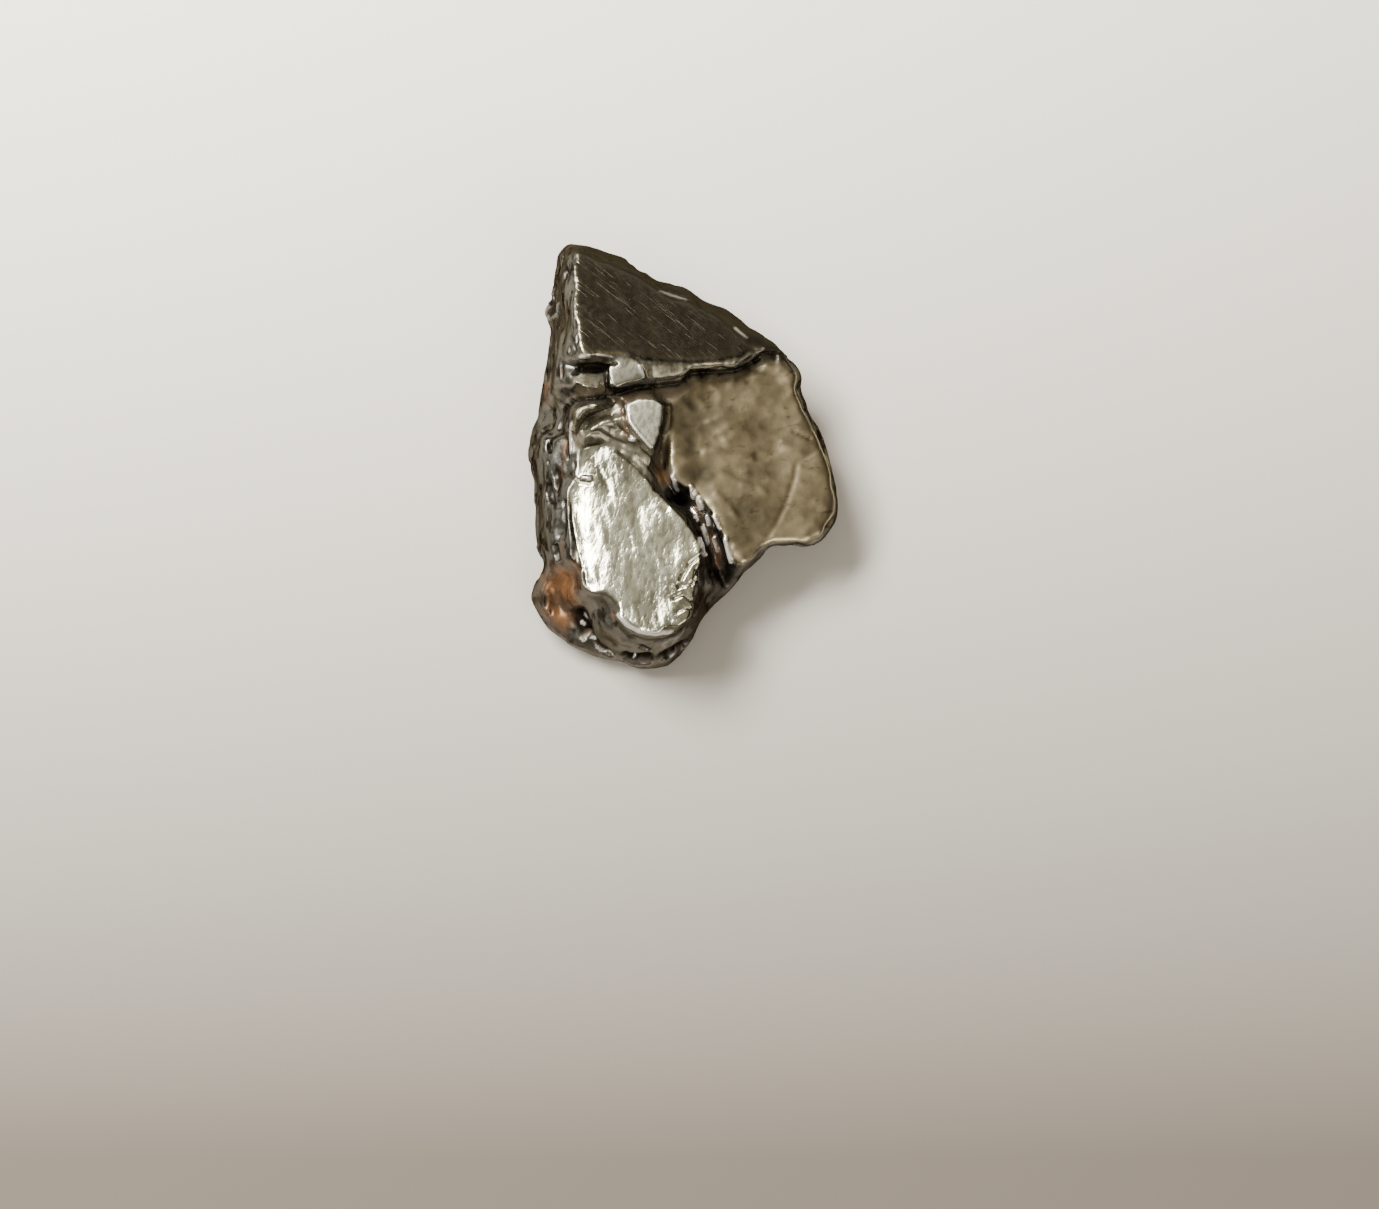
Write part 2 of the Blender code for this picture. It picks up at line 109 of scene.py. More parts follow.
RECESS = [
    (-8.7, -8.8), (-10.6, -8.8), (-11.5, -9.8), (-11.7, -11.2), (-11.1, -12.8), (-9.8, -14.0), (-8.6, -12.6),
]

# The dark rounded bevel behind the crown, its darkness painted shade; the crusted wall at the lower right,
# darker partly as painted shade; and the filmed places.
BEVEL = [
    (-8.8, 16.5), (-7.4, 16.2), (-5.1, 15.2), (-2.5, 13.7), (0.6, 12.4), (3.1, 11.0), (5.0, 9.3), (5.4, 8.6),
    (8.3, 8.0), (7.4, 9.4), (5.2, 10.8), (3.0, 12.4), (0.5, 13.6), (-2.2, 14.6), (-4.5, 16.1), (-9.1, 17.5),
]
LOW_WALL = [
    (1.9, -8.4), (4.1, -8.9), (4.3, -9.6), (2.9, -11.3), (1.1, -13.4), (0.7, -12.2), (1.1, -11.4),
    (1.8, -10.6), (2.1, -9.4),
]
SILL = [
    (-5.3, 4.6), (-4.1, 5.0), (-2.9, 5.25), (-0.6, 5.5), (0.3, 6.2), (0.6, 5.6), (-0.6, 4.6), (-1.5, 4.2),
    (-2.6, 4.45), (-3.7, 4.45), (-4.8, 4.1),
]
RAVINE_WALL = [
    (-1.5, 2.2), (-1.3, 1.6), (-1.2, -0.6), (-0.9, -1.8), (-1.8, -2.8), (-2.6, -1.2), (-2.4, 0.4),
    (-1.9, 1.4),
]
UNDER_TOOTH = [(-8.7, 5.3), (-8.1, 4.9), (-6.6, 4.9), (-5.8, 4.9), (-6.2, 4.65), (-8.3, 4.6), (-9.0, 4.5)]

# Each facet's outlines, and how softly it ends there.
SMALL_FACE_EDGE = 0.12
FACETS = {
    "crown": ([CROWN], 0.25),
    "plateau": ([PLATEAU], 0.2),
    "bright": ([BRIGHT], 0.25),
    "chip": ([CHIP, FLAKE], SMALL_FACE_EDGE),
    "lip": ([LIP, TOOTH], SMALL_FACE_EDGE),
    "ledge": ([LEDGES], 0.15),
    "recess": ([RECESS], 0.8),
    "bevel": ([BEVEL], 0.2),
}
FILM_AREAS = [(SILL, 0.2), (RAVINE_WALL, 0.15), (UNDER_TOOTH, 0.12)]
BEVEL_BAND = 0.9
CROWN_FADE = 0.35
WORN_EDGE = 0.4

# How squarely a place faces the eye when it counts as seen, rounded, flat, crusted with painted shade, or
# underside with painted shade.
SEEN = (0.0, 0.15)
ROUNDED = (0.50, 0.75)
FLAT = (0.75, 0.9)
SURELY_INSIDE = 0.8
SLANT_CRUST_AND_SHADE = (0.40, 0.15)
UNDERSIDE = (0.0, -0.3)
LOW_WALL_CRUST_AND_SHADE = 0.4
LOW_WALL_EDGE = 0.25
LOW_WALL_MARGIN = 0.6

# How far each face is levelled. 1 makes it a true plane.
CROWN_LEVEL = 1.0
BRIGHT_LEVEL = 0.7
SMALL_FACE_LEVEL = 0.9

# The blunt end is where the surface looks this much towards -Y. Wear takes most of its relief.
BLUNT = (0.35, 0.75)
BLUNT_WEAR = 0.85

# The plateau's lower-right lobe turns up beyond this crease, walked downwards.
LOBE_CREASE = [(10.8, 0.8), (8.8, -0.6), (8.6, -1.8), (7.8, -4.1), (7.1, -5.5), (6.3, -6.7)]
LOBE = LOBE_CREASE + [(9.4, -8.5), (13.5, -7.0), (13.5, 0.8)]
LOBE_WIDTH = 3.0
LOBE_TILT = 0.05

# The crack under the crown's lip, and the bright facet's left edge, which rounds over.
CRACK = [
    (-5.9, 4.65), (-5.1, 4.9), (-4.0, 5.3), (-3.2, 5.35), (-2.3, 5.5), (-0.4, 5.75), (0.1, 6.0), (0.4, 6.6),
    (2.3, 6.7), (3.9, 6.8), (4.6, 7.05), (5.2, 7.5), (5.8, 7.7), (6.0, 8.15), (6.5, 8.3), (8.0, 8.3),
]
CRACK_SIDE = 1.8
CRACK_BEND = 0.25
# How dark the painted shade beside the crack is, and how fast it fades.
CRACK_SHADE = 0.8
CRACK_SHADE_FALL = 1.5
BRIGHT_LEFT_EDGE = [(-9.4, -4.6), (-9.1, -5.8), (-8.6, -8.6), (-8.1, -10.3)]
LEFT_EDGE_WIDTH = 3.4
LEFT_EDGE_DROP = 0.42

# The crown rounds down over its last millimetre, towards this lip.
CROWN_LIP = [(-8.2, 7.7), (-4.9, 7.8), (-2.1, 7.5), (0.5, 7.4), (2.8, 7.6), (4.5, 8.0)]
CROWN_LIP_DROP = 0.10

# Layers of relief: height, grain across, along and up the lump, and which pattern of noise.
WALL_LUMPS = [(0.015, (0.55, 1.4, 0.6), 1), (0.05, (1.3, 3.2, 1.2), 2)]
TORN_STREAKS = [(0.05, (0.32, 0.95, 0.6), 9)]
HAMMERED = [(0.014, (0.28, 0.75, 1.0), 3), (0.026, (0.60, 1.7, 2.0), 4), (0.11, (1.9, 2.6, 3.0), 8)]
HAMMERED_LEAN = 0.22
PLATEAU_SWELLS = [(0.11, (4.2, 2.6, 2.5), 6)]
FOLD_HEIGHT = 0.040
FOLD_GRAIN = (1.6, 0.9, 1.2)
FOLD_PATTERN = 5
PATTERN_STEP = np.array([3.17, 7.31, 5.77])

# Grooves on the seen side: line, half width, depth, and darkness of the painted shade in them, partly their
# dark oxide.
GROOVE_SHADE = (0.15, 0.65)
GROOVES = [
    # The long crack, its left branch, and the notch with its slit.
    (CRACK, 0.12, 0.25, 0.9),
    ([(-6.2, 4.7), (-6.9, 4.55), (-8.1, 4.55), (-8.9, 4.4), (-9.6, 3.75), (-10.1, 2.2)], 0.14, 0.3, 0.9),
    ([(-8.4, 6.9), (-6.5, 6.95)], 0.36, 0.6, 1.0),
    ([(-6.4, 7.0), (-5.5, 7.2)], 0.14, 0.3, 1.0),
    ([(-6.3, 6.8), (-6.3, 4.7)], 0.12, 0.3, 0.9),
    # The ledges above the bright facet.
    ([(-8.7, 1.6), (-8.2, 2.4), (-7.7, 2.95), (-6.9, 3.35), (-5.9, 3.75), (-5.6, 4.15)], 0.12, 0.2, 0.8),
    ([(-6.9, 2.5), (-6.1, 2.15), (-5.1, 1.9)], 0.12, 0.12, 0.5),
    ([(-8.0, 1.7), (-6.9, 1.9), (-5.9, 1.3), (-4.9, 0.9)], 0.22, 0.14, 0.3),
    ([(-7.6, 3.9), (-6.8, 3.8), (-6.0, 4.0)], 0.25, 0.14, 0.5),
    ([(-5.9, 3.2), (-5.4, 2.3), (-4.6, 1.6)], 0.18, 0.14, 0.5),
    ([(-4.1, 0.2), (-3.1, -0.7), (-2.2, -1.9)], 0.12, 0.18, 0.8),
    ([(-3.6, 0.5), (-2.7, -0.3), (-2.2, -1.0)], 0.10, 0.14, 0.7),
    ([(-5.0, 3.7), (-4.9, 2.6), (-4.4, 1.7), (-3.7, 0.9)], 0.12, 0.18, 0.5),
    # The ravine and the gaps between its slivers.
    ([(-1.62, 3.7), (-1.65, 2.4), (-1.85, 1.2), (-2.1, 0.2)], 0.13, 0.1, 0.7),
    ([(-0.9, -3.5), (-0.5, -3.6), (-0.1, -3.7)], 0.40, 0.2, 0.8),
    ([(0.0, -3.9), (0.8, -4.8), (1.4, -6.2), (1.9, -7.6), (2.1, -9.0)], 0.18, 0.1, 0.4),
    ([(0.9, -3.0), (1.6, -4.2), (2.1, -5.4), (2.6, -6.8), (3.0, -8.4)], 0.14, 0.1, 0.5),
    # The broken steps on the bright facet's right, and its creases.
    ([(1.2, -7.9), (0.3, -8.6), (-0.3, -9.5), (-0.6, -10.4)], 0.18, 0.28, 0.7),
    ([(1.4, -8.6), (0.8, -9.3), (0.5, -10.2)], 0.16, 0.26, 0.8),
    ([(0.9, -10.0), (-0.3, -10.3), (-1.2, -10.1)], 0.15, 0.22, 0.7),
    ([(-1.0, -11.3), (-0.2, -10.9), (0.6, -11.6)], 0.16, 0.24, 0.7),
    ([(-0.7, -12.4), (0.0, -11.9), (0.5, -12.2)], 0.14, 0.18, 0.6),
    ([(-9.1, -1.6), (-8.5, -2.0), (-7.6, -2.2)], 0.15, 0.22, 0.6),
    ([(-6.9, -1.0), (-6.4, -1.9), (-6.0, -2.9)], 0.12, 0.08, 0.3),
    # Under the bright facet's lower rim, and the slots in the blunt end.
    ([(-5.5, -13.2), (-4.4, -14.25), (-3.2, -14.65), (-1.8, -14.65), (-0.5, -14.2)], 0.16, 0.12, 0.5),
    ([(-4.8, -16.0), (-4.0, -16.2), (-3.0, -16.05)], 0.54, 0.9, 1.0),
    ([(-1.9, -16.0), (-1.0, -15.5), (-0.2, -14.9)], 0.42, 0.7, 1.0),
    ([(-3.6, -15.1), (-2.9, -15.4)], 0.20, 0.3, 0.9),
    ([(-8.5, -12.7), (-8.1, -13.8)], 0.90, 0.5, 1.0),
    ([(-7.8, -13.9), (-7.0, -15.0), (-5.9, -15.8)], 0.30, 0.3, 0.8),
    # The hollow flap, the top pit and the longer pits of the left wall.
    ([(-10.6, 13.8), (-10.7, 12.6), (-10.7, 11.8)], 0.30, 0.4, 0.9),
    ([(-9.9, 16.1), (-9.7, 15.0), (-9.5, 14.4)], 0.22, 0.3, 0.8),
    ([(-9.1, 9.4), (-8.8, 8.4)], 0.15, 0.2, 0.8),
    ([(-10.7, 10.3), (-10.8, 9.0)], 0.14, 0.2, 0.8),
    ([(-10.9, 1.1), (-10.8, 0.4)], 0.22, 0.4, 0.9),
    ([(-10.9, -2.4), (-10.6, -3.6)], 0.30, 0.4, 0.8),
    ([(-10.4, -7.2), (-10.2, -8.2)], 0.34, 0.4, 0.7),
    # The plateau's crease, its short crack and the slit under its rim.
    (LOBE_CREASE, 0.35, 0.04, 0.0),
    ([(8.5, 2.0), (9.2, 1.7), (9.9, 1.4)], 0.12, 0.12, 0.6),
    ([(8.7, -7.0), (9.5, -7.25), (10.1, -7.2)], 0.13, 0.2, 0.9),
]

# Raised edges and slivers, worn bright and given painted highlights and glints: line, half width, height,
# polish with painted highlight.
RIDGE_SHINE = (0.1, 0.6)
RIDGES = [
    ([(-1.1, -1.6), (-0.9, -2.1), (-0.6, -2.7)], 0.20, 0.25, 1.0),
    ([(0.4, -2.5), (0.7, -3.3)], 0.22, 0.35, 1.0),
    ([(1.0, -3.4), (1.3, -4.2)], 0.22, 0.35, 1.0),
    ([(0.5, -4.2), (0.9, -5.2)], 0.20, 0.35, 1.0),
    ([(2.2, -4.8), (2.7, -5.8)], 0.18, 0.25, 0.9),
    ([(1.7, -4.7), (1.9, -5.5)], 0.16, 0.30, 0.9),
    ([(1.0, -6.6), (1.5, -7.9)], 0.16, 0.30, 0.8),
    ([(2.2, -6.5), (2.5, -7.6)], 0.16, 0.30, 0.8),
    ([(1.3, -5.7), (1.7, -7.0)], 0.22, 0.35, 1.0),
    ([(3.1, -6.6), (3.35, -7.5), (3.6, -8.4)], 0.24, 0.30, 1.0),
    ([(-5.3, -12.6), (-4.6, -13.4), (-3.6, -13.9), (-2.4, -14.1), (-1.2, -13.9)], 0.30, 0.14, 1.0),
    ([(-8.2, -1.75), (-7.6, -1.85)], 0.22, 0.22, 1.0),
    ([(-4.4, 1.3), (-4.1, 1.25)], 0.26, 0.28, 1.0),
    ([(-11.0, 12.2), (-11.15, 11.6), (-10.9, 11.1), (-10.3, 11.3), (-10.1, 12.2)], 0.14, 0.25, 0.25),
    ([(-9.1, 2.6), (-9.1, 0.3)], 0.18, 0.15, 0.8),
    ([(-8.3, 7.75), (-7.6, 7.8)], 0.25, 0.10, 0.9),
    # Painted glints on the crown's back edge.
    ([(-2.1, 13.15), (-1.2, 12.85), (0.0, 12.5)], 0.15, 0.05, 0.28),
    ([(3.9, 10.2), (4.4, 9.8), (4.8, 9.45)], 0.17, 0.06, 0.38),
    ([(4.5, -2.4), (5.7, -2.4), (6.3, -3.0)], 0.45, 0.045, 0.0),
    ([(1.6, 0.2), (2.6, 0.35), (3.6, 0.0), (5.2, -0.1)], 0.55, 0.07, 0.0),
    ([(2.4, -3.1), (3.4, -3.9), (4.0, -4.9)], 0.45, 0.045, 0.0),
    ([(1.8, 2.6), (2.9, 1.8), (3.3, 0.9)], 0.50, 0.04, 0.0),
    # The chip's worn left edge.
    ([(-4.75, 3.9), (-4.4, 2.6), (-3.75, 1.75), (-3.2, 1.1), (-2.75, 0.6)], 0.15, 0.08, 1.0),
    ([(12.0, -3.4), (11.7, -5.2), (10.8, -6.5), (10.0, -7.1)], 0.30, 0.08, 0.0),
    ([(-4.35, -16.3), (-4.25, -16.3)], 0.13, 0.30, 1.0),
    # Painted sparkles in the dark hollow, and the paler patch at the right of the blunt end.
    ([(-8.2, -12.7), (-8.0, -12.9)], 0.16, 0.15, 1.0),
    ([(-8.4, -13.2), (-8.2, -13.4)], 0.14, 0.15, 1.0),
    ([(-8.3, -14.5), (-8.1, -14.7)], 0.16, 0.15, 1.0),
    ([(-7.6, -14.4), (-7.3, -14.6)], 0.16, 0.15, 1.0),
    ([(-7.2, -15.1), (-6.8, -15.5), (-6.2, -15.6), (-5.8, -15.9)], 0.10, 0.10, 0.8),
    ([(-1.6, -15.0), (-0.6, -14.6), (0.2, -13.9)], 0.50, 0.05, 0.2),
    # The painted light edge of the lip along the crack.
    ([(-5.5, 5.3), (-4.1, 5.7), (-2.9, 5.85), (-0.5, 6.15), (0.3, 6.95), (2.3, 7.05), (3.9, 7.15),
      (5.2, 7.85), (6.2, 8.6)], 0.15, 0.03, 0.5),
    ([(-3.6, 7.1), (-3.3, 6.0)], 0.12, 0.10, 0.7),
]

# Coppery rust: line, half width. The stains are thinner than the rust in the recess.
RUST_STAIN = 0.6
RUST_SPREAD = 1.6
RUST = [
    ([(-5.1, 4.4), (-5.0, 3.2), (-4.8, 1.9)], 0.40),
    ([(-2.1, -0.8), (-1.8, -2.0)], 0.40),
    ([(2.5, -7.6), (2.7, -8.6)], 0.40),
    ([(0.6, -3.2), (1.1, -5.0), (1.9, -6.4), (2.4, -7.4)], 0.36),
    ([(-9.6, 1.0), (-9.7, -0.8), (-9.9, -1.8)], 0.22),
    ([(-5.7, -12.7), (-5.5, -12.9)], 0.30),
    ([(-10.0, -7.0), (-9.8, -7.9), (-9.6, -9.0)], 0.30),
    ([(-11.2, 4.4), (-11.1, 5.8)], 0.22),
]

# Soft spots of painted shade: u, v, radius, darkness. Each is even in its core, and fades to its rim.
SHADE_SPOT_CORE = 0.3
SHADE_SPOTS = [
    (1.5, -1.5, 1.2, 0.72), (1.8, 0.9, 0.5, 0.35), (5.0, -1.5, 0.5, 0.35), (3.0, -6.0, 1.3, 0.45),
    (0.0, 3.9, 1.8, 0.50), (1.1, 3.0, 3.4, 0.48), (4.7, -5.0, 3.0, 0.52), (-8.2, 3.3, 1.5, 0.70),
    (-6.3, -0.9, 3.2, 0.66), (-1.8, -12.1, 3.2, 0.50), (-2.9, 2.6, 1.9, 0.30), (-7.0, -14.6, 1.8, 0.50),
    (-7.5, 5.6, 1.6, 0.15), (-1.4, 6.7, 1.8, 0.75), (-0.2, 2.6, 1.7, 0.48), (0.0, 0.6, 1.5, 0.42),
    (0.4, -1.6, 1.6, 0.50),
]

# Scattered pits: how many, which draw, how surely a place is wall, and their radius, depth and length.
PITS = 460
PIT_DRAW = 7
PIT_WALLS = 0.6
PIT_RADIUS = (0.10, 0.28)
PIT_DEPTH = (0.06, 0.26)
PIT_LENGTH = (1.2, 4.0)
PIT_RISE = 1.3
# The painted shade in a pit: how it fills the pit, how dark the shallowest is, and how it darkens with depth.
PIT_SHADE = (0.1, 0.9)
PIT_LEAST_DARK = 0.4
PIT_DARK_BY_DEPTH = 3.0


def fine_mesh(name):
    """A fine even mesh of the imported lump, in millimetres."""
    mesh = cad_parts["meteorite"].data.copy()
    mesh.transform(Matrix.Scale(1.0 / MILLIMETRE, 4))
    holder = bpy.data.objects.new("holder", mesh)
    bpy.context.scene.collection.objects.link(holder)
    remesh = holder.modifiers.new("remesh", "REMESH")
    remesh.mode = "VOXEL"
    remesh.voxel_size = FINE_VOXEL
    depsgraph = bpy.context.evaluated_depsgraph_get()
    made = bpy.data.meshes.new_from_object(holder.evaluated_get(depsgraph))
    bpy.data.objects.remove(holder, do_unlink=True)
    made.name = name
    made.materials.clear()
    return made


def smooth_step(low, high, value):
    """0 at low, 1 at high, smooth between."""
    t = np.clip((value - low) / (high - low), 0.0, 1.0)
    return t * t * (3.0 - 2.0 * t)


def line_distance(u, v, line):
    """How far each place is from an open line."""
    away = np.full(len(u), np.inf)
    for (u1, v1), (u2, v2) in zip(line, line[1:]):
        du, dv = u2 - u1, v2 - v1
        share = np.clip(((u - u1) * du + (v - v1) * dv) / (du * du + dv * dv), 0.0, 1.0)
        away = np.minimum(away, np.hypot(u - u1 - share * du, v - v1 - share * dv))
    return away


def within(u, v, outline):
    """How far inside an outline each place is, negative outside."""
    inside = np.zeros(len(u), dtype=bool)
    for (u1, v1), (u2, v2) in zip(outline, outline[1:] + outline[:1]):
        if v1 == v2:
            continue
        crosses = ((v1 > v) != (v2 > v)) & (u < u1 + (u2 - u1) * (v - v1) / (v2 - v1))
        inside ^= crosses
    away = line_distance(u, v, outline + outline[:1])
    return np.where(inside, away, -away)


def noise_at(points, size, seed):
    """Smooth noise between about -1 and 1. size is a length for each axis."""
    scaled = points / np.array(size) + seed * PATTERN_STEP
    return np.array([noise.noise(Vector(p)) for p in scaled])


def layered(points, layers):
    """Layers of noise, one on the other."""
    return sum(height * noise_at(points, size, seed) for height, size, seed in layers)


class Surface:
    """The fine mesh's points and normals as arrays, with what the relief needs to know of them."""

    def __init__(self, mesh):
        self.mesh = mesh
        count = len(mesh.vertices)
        self.points = np.empty(count * 3)
        mesh.vertices.foreach_get("co", self.points)
        self.points = self.points.reshape(-1, 3)
        edges = np.empty(len(mesh.edges) * 2, dtype=np.int64)
        mesh.edges.foreach_get("vertices", edges)
        self.degree = np.bincount(edges, minlength=count)
        self.edges = edges.reshape(-1, 2)
        self.measure()

    def write(self):
        self.mesh.vertices.foreach_set("co", self.points.ravel())
        self.mesh.update()

    def measure(self):
        """Reads the normals, and u, v of every point, from the mesh as it is now."""
        self.write()
        normals = np.empty(len(self.points) * 3)
        self.mesh.vertices.foreach_get("normal", normals)
        self.normals = normals.reshape(-1, 3)
        self.facing = self.normals @ TO_EYE
        self.u = self.points[:, 0] + EYE_U
        depth = self.points[:, 1] * math.cos(VIEW_TILT) + self.points[:, 2] * math.sin(VIEW_TILT)
        self.v = depth + EYE_V
        self.front = smooth_step(*SEEN, self.facing)

    def smooth(self, passes, weight=1.0, share=PASS_SHARE):
        """Moves each point towards the middle of its neighbours, pass after pass."""
        a, b = self.edges[:, 0], self.edges[:, 1]
        weight = share * np.broadcast_to(weight, len(self.points))[:, None]
        for _ in range(passes):
            middle = np.empty_like(self.points)
            for axis in range(3):
                column = self.points[:, axis]
                total = np.bincount(a, column[b], len(column)) + np.bincount(b, column[a], len(column))
                middle[:, axis] = total / self.degree
            self.points += weight * (middle - self.points)

    def flatten(self, mask, share, area=None):
        """Moves the area's points towards the mean plane of the mask's points."""
        chosen = self.points[mask > SURELY_INSIDE]
        middle = chosen.mean(axis=0)
        normal = np.linalg.svd(chosen - middle, full_matrices=False)[2][2]
        away = (self.points - middle) @ normal
        area = mask if area is None else area
        self.points -= (share * area * away)[:, None] * normal

    def region(self, outline, soft):
        """1 inside an outline on the seen side, 0 outside, over a soft edge."""
        return smooth_step(-soft, soft, within(self.u, self.v, outline)) * self.front

    def raise_by(self, height):
        """Moves points out along their normals."""
        self.points += self.normals * height[:, None]

    def keep(self, name, values):
        """Stores one number a point for the material."""
        attribute = self.mesh.attributes.new(name, "FLOAT", "POINT")
        attribute.data.foreach_set("value", values.astype(np.float32))


def facet_masks(surface):
    """How far each point belongs to each facet, from 0 to 1."""
    masks = {}
    for name, (outlines, soft) in FACETS.items():
        masks[name] = np.maximum.reduce([surface.region(outline, soft) for outline in outlines])
    masks["bevel"] = np.maximum(masks["bevel"], stroke(surface, CROWN_BACK_EDGE, BEVEL_BAND))
    for name, limits in (("crown", FLAT), ("plateau", ROUNDED), ("bright", FLAT), ("chip", ROUNDED)):
        masks[name] = masks[name] * smooth_step(*limits, surface.facing)
    return masks


def edge_band(surface):
    """1 along the crown's and plateau's worn edges, 0 away from them."""
    crown = np.abs(within(surface.u, surface.v, CROWN))
    plateau = np.abs(within(surface.u, surface.v, PLATEAU))
    return np.exp(-(np.minimum(crown, plateau) / WORN_EDGE) ** 2)


def stroke(surface, line, half_width):
    """1 on a line on the seen side, 0 from its half width on."""
    nearness = 1.0 - line_distance(surface.u, surface.v, line) / half_width
    return smooth_step(0.0, 1.0, nearness) * surface.front


def scatter_pits(surface, walls):
    """Small hollows on the walls and underside: their depth, and their painted shade at every point, darker
    where deeper.
    """
    random = np.random.default_rng(PIT_DRAW)
    places = np.flatnonzero(walls > PIT_WALLS)
    depth = np.zeros(len(surface.points))
    hollow_shade = np.zeros(len(surface.points))
    for _ in range(PITS):
        centre = surface.points[places[random.integers(len(places))]]
        radius = random.uniform(*PIT_RADIUS)
        length = random.uniform(*PIT_LENGTH)
        deepest = random.uniform(*PIT_DEPTH)
        away = (surface.points - centre) / np.array([radius, radius * length, radius * PIT_RISE])
        t = np.clip(1.0 - np.einsum("ij,ij->i", away, away), 0.0, 1.0)
        depth = np.maximum(depth, deepest * t)
        darkest = min(1.0, PIT_LEAST_DARK + PIT_DARK_BY_DEPTH * deepest)
        hollow_shade = np.maximum(hollow_shade, smooth_step(*PIT_SHADE, t) * darkest)
    return depth * walls, hollow_shade * walls


def crack_nearness(surface):
    """1 on the crack, 0 from its side's width on."""
    return np.clip(1.0 - line_distance(surface.u, surface.v, CRACK) / CRACK_SIDE, 0.0, 1.0)


def bright_ripples(surface):
    """The hammered look: ripples that run along the facet and lean, and its left edge rounded over."""
    leaning = surface.points.copy()
    leaning[:, 0] += HAMMERED_LEAN * surface.points[:, 1]
    edge = 1.0 - line_distance(surface.u, surface.v, BRIGHT_LEFT_EDGE) / LEFT_EDGE_WIDTH
    return layered(leaning, HAMMERED) - LEFT_EDGE_DROP * np.clip(edge, 0.0, 1.0) ** 2


def plateau_swells(surface):
    """Soft folds with sharper crests, the bend down to the crack, and the upturned lobe."""
    folds = 1.0 - np.abs(noise_at(surface.points, FOLD_GRAIN, FOLD_PATTERN)) * 2.0
    swells = FOLD_HEIGHT * folds + layered(surface.points, PLATEAU_SWELLS)
    lobe = np.clip(within(surface.u, surface.v, LOBE), 0.0, LOBE_WIDTH)
    return swells - CRACK_BEND * crack_nearness(surface) ** 2 + LOBE_TILT * lobe


def crown_edge(surface):
    """The crown's drop to its lower lip."""
    near = np.clip(1.0 - line_distance(surface.u, surface.v, CROWN_LIP), 0.0, 1.0)
    return -CROWN_LIP_DROP * near * near


def level_faces(surface, masks):
    """Flattens the crown, the bright facet and the small broken faces."""
    surface.flatten(masks["crown"], CROWN_LEVEL)
    surface.flatten(masks["bright"], BRIGHT_LEVEL)
    seen_flat = smooth_step(*FLAT, surface.facing)
    for name, outline in (("chip", CHIP), ("chip", FLAKE), ("lip", TOOTH)):
        area = surface.region(outline, SMALL_FACE_EDGE)
        surface.flatten(area * seen_flat, SMALL_FACE_LEVEL, area)
        masks[name] = np.maximum(masks[name], area)


def soften(surface, masks):
    """Smooths each part as far as it is worn, and gives the masks of the walls and of the blunt end."""
    surface.smooth(PLATEAU_PASSES, masks["plateau"])
    surface.smooth(RECESS_PASSES, masks["recess"])
    surface.smooth(EDGE_PASSES, np.maximum(edge_band(surface), masks["bevel"]))
    facets = sum(masks[name] for name in FACETS if name != "recess")
    walls = 1.0 - np.clip(facets, 0.0, 1.0)
    surface.smooth(WALL_PASSES, walls)
    blunt = walls * smooth_step(*BLUNT, -surface.normals[:, 1])
    surface.smooth(BLUNT_PASSES, blunt)
    return walls, blunt


def broad_relief(surface, masks, unworn):
    """The height that each part's own texture adds. Worn walls have less of it."""
    torn = np.maximum(masks["lip"], masks["ledge"])
    height = unworn * layered(surface.points, WALL_LUMPS) + masks["bright"] * bright_ripples(surface)
    height += torn * layered(surface.points, TORN_STREAKS)
    height += masks["plateau"] * plateau_swells(surface) + masks["crown"] * crown_edge(surface)
    return height


def cut_and_raise(surface, height, hollow_shade):
    """Cuts the grooves and raises the ridges: the height, the painted shade in the hollows, and the polish
    and painted glints on the ridges.
    """
    polish_and_glint = np.zeros(len(height))
    for line, half_width, depth, darkness in GROOVES:
        here = stroke(surface, line, half_width)
        height = height - depth * here
        hollow_shade = np.maximum(hollow_shade, darkness * smooth_step(*GROOVE_SHADE, here))
    for line, half_width, high, shine in RIDGES:
        here = stroke(surface, line, half_width)
        height = height + high * here
        polish_and_glint = np.maximum(polish_and_glint, shine * smooth_step(*RIDGE_SHINE, here))
    return height, hollow_shade * (1.0 - polish_and_glint), polish_and_glint


def rust_cover(surface, recess):
    """Rust fills the recess and stains the lines."""
    rust = recess
    for line, half_width in RUST:
        rust = np.maximum(rust, RUST_STAIN * stroke(surface, line, RUST_SPREAD * half_width))
    return rust


def painted_shade_cover(surface):
    """The spots of painted shade, and the painted shade beside the crack."""
    painted_shade = CRACK_SHADE * crack_nearness(surface) ** CRACK_SHADE_FALL
    for u, v, radius, darkness in SHADE_SPOTS:
        away = np.hypot(surface.u - u, surface.v - v) / radius
        painted_shade = np.maximum(painted_shade, darkness * smooth_step(1.0, SHADE_SPOT_CORE, away))
    return painted_shade


def crust_and_shade_cover(surface, unworn):
    """Crust and painted shade on the walls that the eye sees at a slant, and on the low wall."""
    crust_and_shade = smooth_step(*SLANT_CRUST_AND_SHADE, surface.facing) * unworn
    return np.maximum(crust_and_shade, LOW_WALL_CRUST_AND_SHADE * surface.region(LOW_WALL, LOW_WALL_EDGE))


